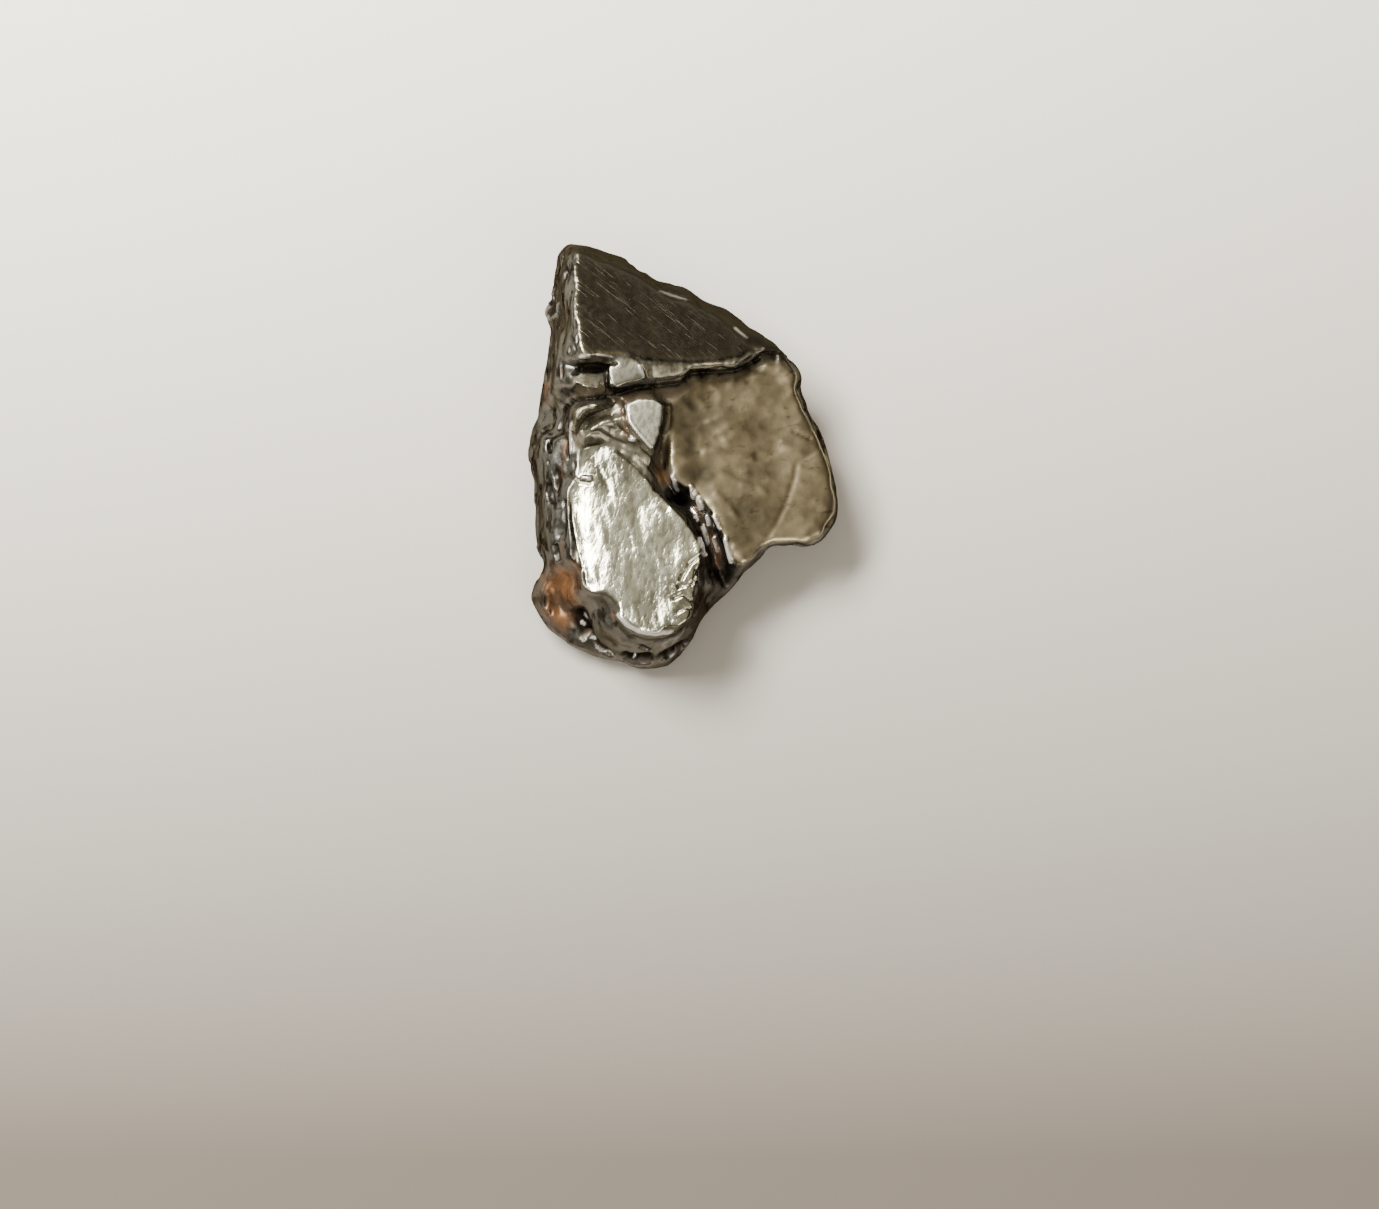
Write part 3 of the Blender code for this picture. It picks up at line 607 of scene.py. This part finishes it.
def give_relief(surface):
    """Shapes the fine surface and stores where it is crown, pit, rust and so on, and where shade and glints
    are painted.
    """
    masks = facet_masks(surface)
    level_faces(surface, masks)
    walls, blunt = soften(surface, masks)
    relief_left = 1.0 - BLUNT_WEAR * blunt
    unworn = walls * relief_left
    pits, pit_shade = scatter_pits(surface, walls)
    height = broad_relief(surface, masks, unworn) - pits * relief_left
    height, hollow_shade, polish_and_glint = cut_and_raise(surface, height, pit_shade * relief_left)
    surface.raise_by(height)
    surface.smooth(1, 1.0 - masks["bright"], LAST_PASS_SHARE)
    masks["hollow_shade"] = hollow_shade
    masks["polish_and_glint"] = polish_and_glint
    masks["rust"] = rust_cover(surface, masks.pop("recess"))
    masks["painted_shade"] = painted_shade_cover(surface)
    # Painted shade, with crust, where the surface turns away from the eye.
    masks["under"] = smooth_step(*UNDERSIDE, surface.facing)
    masks["crust_and_shade"] = crust_and_shade_cover(surface, unworn)
    masks["blunt"] = blunt * (1.0 - surface.region(LOW_WALL, LOW_WALL_MARGIN))
    masks["film"] = sum(surface.region(outline, soft) for outline, soft in FILM_AREAS)
    masks["crown"] = masks["crown"] * smooth_step(0.0, CROWN_FADE, within(surface.u, surface.v, CROWN))
    for name, values in masks.items():
        surface.keep(name, values)


def lump_piece():
    mesh = fine_mesh("meteorite_metal")
    surface = Surface(mesh)
    surface.smooth(WHOLE_PASSES)
    surface.measure()
    give_relief(surface)
    surface.write()
    mesh.transform(Matrix.Scale(MILLIMETRE, 4))
    mesh.shade_smooth()
    piece = bpy.data.objects.new("meteorite_metal", mesh)
    bpy.context.scene.collection.objects.link(piece)
    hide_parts("meteorite")
    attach(piece, "root")
    return piece


class Recipe:
    """Short calls for one material's nodes."""

    def __init__(self, name):
        self.material = bpy.data.materials.new(name)
        self.material.use_nodes = True
        self.tree = self.material.node_tree
        self.shader = self.tree.nodes["Principled BSDF"]
        place = self.tree.nodes.new("ShaderNodeTexCoord")
        scale = self.tree.nodes.new("ShaderNodeVectorMath")
        scale.operation = "SCALE"
        scale.inputs["Scale"].default_value = 1.0 / MILLIMETRE
        self.tree.links.new(place.outputs["Object"], scale.inputs[0])
        self.millimetres = scale.outputs[0]

    def set(self, socket, value):
        if isinstance(value, bpy.types.NodeSocket):
            self.tree.links.new(value, socket)
        else:
            socket.default_value = value

    def mask(self, name):
        node = self.tree.nodes.new("ShaderNodeAttribute")
        node.attribute_name = name
        return node.outputs["Fac"]

    def mix(self, factor, first, second):
        node = self.tree.nodes.new("ShaderNodeMix")
        node.data_type = "RGBA"
        self.set(node.inputs[0], factor)
        self.set(node.inputs[6], first)
        self.set(node.inputs[7], second)
        return node.outputs[2]

    def blend(self, factor, first, second):
        node = self.tree.nodes.new("ShaderNodeMix")
        node.data_type = "FLOAT"
        self.set(node.inputs[0], factor)
        self.set(node.inputs[2], first)
        self.set(node.inputs[3], second)
        return node.outputs[0]

    def math(self, operation, first, second=0.0):
        node = self.tree.nodes.new("ShaderNodeMath")
        node.operation = operation
        self.set(node.inputs[0], first)
        self.set(node.inputs[1], second)
        return node.outputs[0]

    def between(self, value, low, high):
        """0 below low, 1 above high, smooth between."""
        node = self.tree.nodes.new("ShaderNodeMapRange")
        node.interpolation_type = "SMOOTHSTEP"
        self.set(node.inputs[0], value)
        node.inputs[1].default_value = low
        node.inputs[2].default_value = high
        return node.outputs[0]

    def stretched(self, turn, scale):
        """Millimetre coordinates turned about Z, then scaled."""
        turned = self.tree.nodes.new("ShaderNodeMapping")
        turned.inputs["Rotation"].default_value = (0.0, 0.0, math.radians(turn))
        self.tree.links.new(self.millimetres, turned.inputs["Vector"])
        scaled = self.tree.nodes.new("ShaderNodeMapping")
        scaled.inputs["Scale"].default_value = scale
        self.tree.links.new(turned.outputs[0], scaled.inputs["Vector"])
        return scaled.outputs[0]

    def noise(self, scale, detail=2.0, place=None, roughness=0.5):
        node = self.tree.nodes.new("ShaderNodeTexNoise")
        node.inputs["Scale"].default_value = scale
        node.inputs["Detail"].default_value = detail
        node.inputs["Roughness"].default_value = roughness
        self.tree.links.new(place or self.millimetres, node.inputs["Vector"])
        return node.outputs["Fac"]

    def bump(self, height, distance):
        node = self.tree.nodes.new("ShaderNodeBump")
        node.inputs["Strength"].default_value = 1.0
        node.inputs["Distance"].default_value = distance * MILLIMETRE
        self.set(node.inputs["Height"], height)
        self.tree.links.new(node.outputs[0], self.shader.inputs["Normal"])


# What the surface stores for the metal.
MASK_NAMES = (
    "crown", "plateau", "bright", "chip", "lip", "ledge", "bevel", "blunt",
    "hollow_shade", "polish_and_glint", "rust", "painted_shade", "under", "crust_and_shade", "film",
)

# What tarnish leaves of the metal's reflection at a grazing angle.
EDGE_TINT = (0.30, 0.285, 0.25, 1.0)

# The metal's colours, by the place or the mottle that they colour. The facets are one metal: their different
# tones are partly painted reflection of the light each catches, partly the metal's own tint.
COLOURS = {
    "wall": (0.104, 0.101, 0.090, 1.0),
    "wall streak": (0.036, 0.032, 0.026, 1.0),
    # Crust, with painted shade on slanted walls and undersides.
    "crust_and_shade": (0.056, 0.045, 0.034, 1.0),
    "crust and shade grain": (0.032, 0.025, 0.019, 1.0),
    "blunt end": (0.22, 0.203, 0.179, 1.0),
    "ledge": (0.22, 0.203, 0.154, 1.0),
    "lip": (0.36, 0.33, 0.25, 1.0),
    # The bevel's near black is painted shade.
    "bevel": (0.055, 0.050, 0.038, 1.0),
    "crown": (0.45, 0.418, 0.320, 1.0),
    "plateau": (0.42, 0.360, 0.238, 1.0),
    "plateau cloud": (0.29, 0.246, 0.159, 1.0),
    "plateau stain": (0.22, 0.185, 0.120, 1.0),
    "bright": (0.33, 0.32, 0.235, 1.0),
    "bright dapple": (0.52, 0.51, 0.39, 1.0),
    "chip": (0.15, 0.145, 0.113, 1.0),
    "chip dapple": (0.275, 0.268, 0.218, 1.0),
    # Painted shade.
    "painted_shade": (0.06, 0.054, 0.038, 1.0),
    "film": (0.13, 0.105, 0.070, 1.0),
    "copper": (0.23, 0.105, 0.038, 1.0),
    "copper cloud": (0.070, 0.038, 0.020, 1.0),
    # Painted shade in the grooves and pits, partly their dark oxide.
    "hollow_shade": (0.016, 0.011, 0.007, 1.0),
    # Worn bright metal, with painted highlights and glints.
    "polish_and_glint": (0.62, 0.60, 0.55, 1.0),
}
BLUNT_COVER = 0.55
RUST_COVER = 0.85

# How dull a filmed place is against bare metal, and how much of that each other place has.
BARE_METAL = 1.0
DULL_METAL = 0.3
DULLNESS = {"hollow_shade": 0.25, "rust": 0.6, "ledge": 0.2, "lip": 0.15, "polish_and_glint": 0.6}

# Roughness of the grain, low and high, then of the places that lie over it.
GRAIN_ROUGHNESS = (0.26, 0.40)
CRUST_ROUGHNESS = 0.62
ROUGHNESS = {
    "bevel": 0.50, "crown": 0.18, "plateau": 0.34, "bright": 0.15, "chip": 0.26, "polish_and_glint": 0.15, "hollow_shade": 0.5,
}

# Bump heights, as shares of the bump's depth in millimetres.
BUMP_DEPTH = 0.004
SCRATCH_BUMP = 2.0
HAMMERED_BUMP = 1.5
GRAIN_BUMP = 0.5


def metal_mottles(r):
    """The metal's patterns, each from 0 to 1."""
    along = r.stretched(0.0, (1.0, 0.50, 0.8))
    across = r.stretched(-20.0, (0.6, 1.2, 1.0))
    hammered = r.stretched(12.0, (1.0, 0.5, 1.0))
    scratched = r.stretched(40.0, (0.25, 9.0, 1.0))
    return {
        "cloud": r.between(r.noise(0.50, 5.0), 0.38, 0.62),
        "grain": r.between(r.noise(2.6, 4.0), 0.38, 0.62),
        "streak": r.between(r.noise(1.5, 3.0, along), 0.52, 0.62),
        "stain": r.between(r.noise(1.1, 5.0, across, 0.62), 0.56, 0.68),
        "dapple": r.between(r.noise(3.2, 3.0, hammered), 0.35, 0.62),
        "scratch": r.between(r.noise(1.0, 2.0, scratched), 0.62, 0.70),
    }


def metal_colour(r, mask, mottle, crust_shade):
    """The colours in layers, from the walls up to the polished edges and painted glints."""
    def mottled(name, first, second):
        return r.mix(mottle[name], COLOURS[first], COLOURS[second])

    olive = r.mix(mottle["stain"], mottled("cloud", "plateau", "plateau cloud"), COLOURS["plateau stain"])
    layers = [
        # Crust, with painted shade on slanted walls and undersides.
        (crust_shade, mottled("grain", "crust_and_shade", "crust and shade grain")),
        (r.math("MULTIPLY", mask["blunt"], BLUNT_COVER), COLOURS["blunt end"]),
        (mask["ledge"], COLOURS["ledge"]),
        (mask["lip"], COLOURS["lip"]),
        (mask["bevel"], COLOURS["bevel"]),
        (mask["crown"], COLOURS["crown"]),
        (mask["plateau"], olive),
        (mask["bright"], mottled("dapple", "bright", "bright dapple")),
        (mask["chip"], mottled("dapple", "chip", "chip dapple")),
        # Painted shade: soft dark spots, and the shade beside the crack.
        (mask["painted_shade"], COLOURS["painted_shade"]),
        (mask["film"], COLOURS["film"]),
        (r.math("MULTIPLY", mask["rust"], RUST_COVER), mottled("cloud", "copper", "copper cloud")),
        # Painted shade in the grooves and pits, partly their dark oxide.
        (mask["hollow_shade"], COLOURS["hollow_shade"]),
        # Polish, with painted highlights and glints.
        (mask["polish_and_glint"], COLOURS["polish_and_glint"]),
    ]
    colour = mottled("streak", "wall", "wall streak")
    for cover, over in layers:
        colour = r.mix(cover, colour, over)
    return colour


def metal_relief(r, mask, mottle):
    """Scratches on the crown, dapples on the bright facet and grain on the rest."""
    scratches = r.math("MULTIPLY", mottle["scratch"], r.math("MULTIPLY", mask["crown"], SCRATCH_BUMP))
    rugged = r.math("SUBTRACT", 1.0, r.math("MAXIMUM", mask["crown"], mask["chip"]))
    grainy = r.math("MULTIPLY", r.math("MULTIPLY", rugged, mottle["grain"]), GRAIN_BUMP)
    hammered = r.math("MULTIPLY", r.math("MULTIPLY", mottle["dapple"], mask["bright"]), HAMMERED_BUMP)
    return r.math("ADD", hammered, r.math("ADD", grainy, scratches))


def metal():
    """Meteoritic iron: one metal, darker, browner or brighter by facet, partly as painted reflection."""
    r = Recipe("meteoritic_iron")
    mask = {name: r.mask(name) for name in MASK_NAMES}
    mottle = metal_mottles(r)
    crust_shade = r.math("MAXIMUM", mask["crust_and_shade"], mask["under"])
    r.set(r.shader.inputs["Base Color"], metal_colour(r, mask, mottle, crust_shade))
    dull = mask["film"]
    for name, share in DULLNESS.items():
        dull = r.math("MAXIMUM", dull, r.math("MULTIPLY", mask[name], share))
    r.set(r.shader.inputs["Metallic"], r.blend(dull, BARE_METAL, DULL_METAL))
    r.shader.inputs["Specular Tint"].default_value = EDGE_TINT
    rough = r.blend(crust_shade, r.blend(mottle["grain"], *GRAIN_ROUGHNESS), CRUST_ROUGHNESS)
    for name, value in ROUGHNESS.items():
        rough = r.blend(mask[name], rough, value)
    r.set(r.shader.inputs["Roughness"], rough)
    r.bump(metal_relief(r, mask, mottle), BUMP_DEPTH)
    return r.material


# The paper darkens towards its near edge as painted shade, between these places, in millimetres.
PAPER_SHADED_Y = -56.0
PAPER_LIGHT_Y = 42.0
PAPER_SHADED = (0.17, 0.145, 0.120, 1.0)
PAPER_LIGHT = (0.98, 0.955, 0.880, 1.0)
PAPER_ROUGHNESS = 0.85
PAPER_WIDTH = 1.6


def sheet():
    """The pale paper that the lump lies on, with painted shade towards its near edge."""
    bpy.ops.mesh.primitive_plane_add(size=PAPER_WIDTH, location=(0.0, 0.0, 0.0))
    floor = bpy.context.object
    floor.name = "paper"
    r = Recipe("paper")
    axes = r.tree.nodes.new("ShaderNodeSeparateXYZ")
    r.tree.links.new(r.millimetres, axes.inputs[0])
    up_sheet = r.tree.nodes.new("ShaderNodeMapRange")
    r.tree.links.new(axes.outputs["Y"], up_sheet.inputs[0])
    up_sheet.inputs[1].default_value = PAPER_SHADED_Y
    up_sheet.inputs[2].default_value = PAPER_LIGHT_Y
    r.set(r.shader.inputs["Base Color"], r.mix(up_sheet.outputs[0], PAPER_SHADED, PAPER_LIGHT))
    r.shader.inputs["Roughness"].default_value = PAPER_ROUGHNESS
    floor.data.materials.append(r.material)


def soft_light(name, direction, distance, size, power, colour):
    """A rectangular soft light that looks at the lump from a direction."""
    data = bpy.data.lights.new(name, "AREA")
    data.shape = "RECTANGLE"
    data.size, data.size_y = size
    data.energy = power
    data.color = colour
    light = bpy.data.objects.new(name, data)
    away = Vector(direction).normalized()
    light.location = away * distance
    light.rotation_euler = away.to_track_quat("Z", "Y").to_euler()
    bpy.context.scene.collection.objects.link(light)


# The room's light by how near a direction is to the window's side: closeness, colour.
WINDOW_SIDE = (-0.5, -0.1, 0.86)
ROOM = [
    (0.10, (0.020, 0.017, 0.013, 1.0)),
    (0.30, (0.050, 0.040, 0.028, 1.0)),
    (0.50, (0.170, 0.140, 0.095, 1.0)),
    (0.66, (0.280, 0.245, 0.180, 1.0)),
    (0.85, (0.320, 0.300, 0.250, 1.0)),
    (0.96, (0.360, 0.350, 0.320, 1.0)),
]
ROOM_STRENGTH = 2.0


def room():
    world = bpy.data.worlds.new("room")
    bpy.context.scene.world = world
    world.use_nodes = True
    tree = world.node_tree
    place = tree.nodes.new("ShaderNodeTexCoord")
    near = tree.nodes.new("ShaderNodeVectorMath")
    near.operation = "DOT_PRODUCT"
    near.inputs[1].default_value = Vector(WINDOW_SIDE).normalized()
    tree.links.new(place.outputs["Generated"], near.inputs[0])
    ramp = tree.nodes.new("ShaderNodeValToRGB")
    tree.links.new(near.outputs["Value"], ramp.inputs["Fac"])
    stops = ramp.color_ramp.elements
    while len(stops) < len(ROOM):
        stops.new(0.5)
    for stop, (closeness, colour) in zip(stops, ROOM):
        stop.position = closeness
        stop.color = colour
    background = tree.nodes["Background"]
    background.inputs["Strength"].default_value = ROOM_STRENGTH
    tree.links.new(ramp.outputs["Color"], background.inputs["Color"])


# The soft lights: direction from the lump, distance and size in metres, power in watts, colour.
LIGHTS = {
    "window": ((-0.46, 0.44, 0.80), 0.25, (0.12, 0.09), 1.4, (1.0, 0.97, 0.91)),
    "lamp": ((-0.60, 0.14, 0.79), 0.25, (0.06, 0.05), 0.45, (1.0, 0.98, 0.93)),
    "fill": ((0.42, -0.68, 0.60), 0.40, (0.25, 0.25), 0.9, (1.0, 0.96, 0.88)),
}


def lights():
    for name, values in LIGHTS.items():
        soft_light(name, *values)
    room()


def camera():
    data = bpy.data.cameras.new("camera")
    data.lens = LENS
    data.sensor_width = SENSOR
    data.clip_start, data.clip_end = CLIP
    eye = bpy.data.objects.new("camera", data)
    eye.location = AIM + Vector(TO_EYE) * (SEEN_WIDTH * LENS / SENSOR)
    eye.rotation_euler = (VIEW_TILT, 0.0, 0.0)
    bpy.context.scene.collection.objects.link(eye)
    bpy.context.scene.camera = eye


lump = lump_piece()
lump.data.materials.append(metal())
sheet()
lights()
camera()
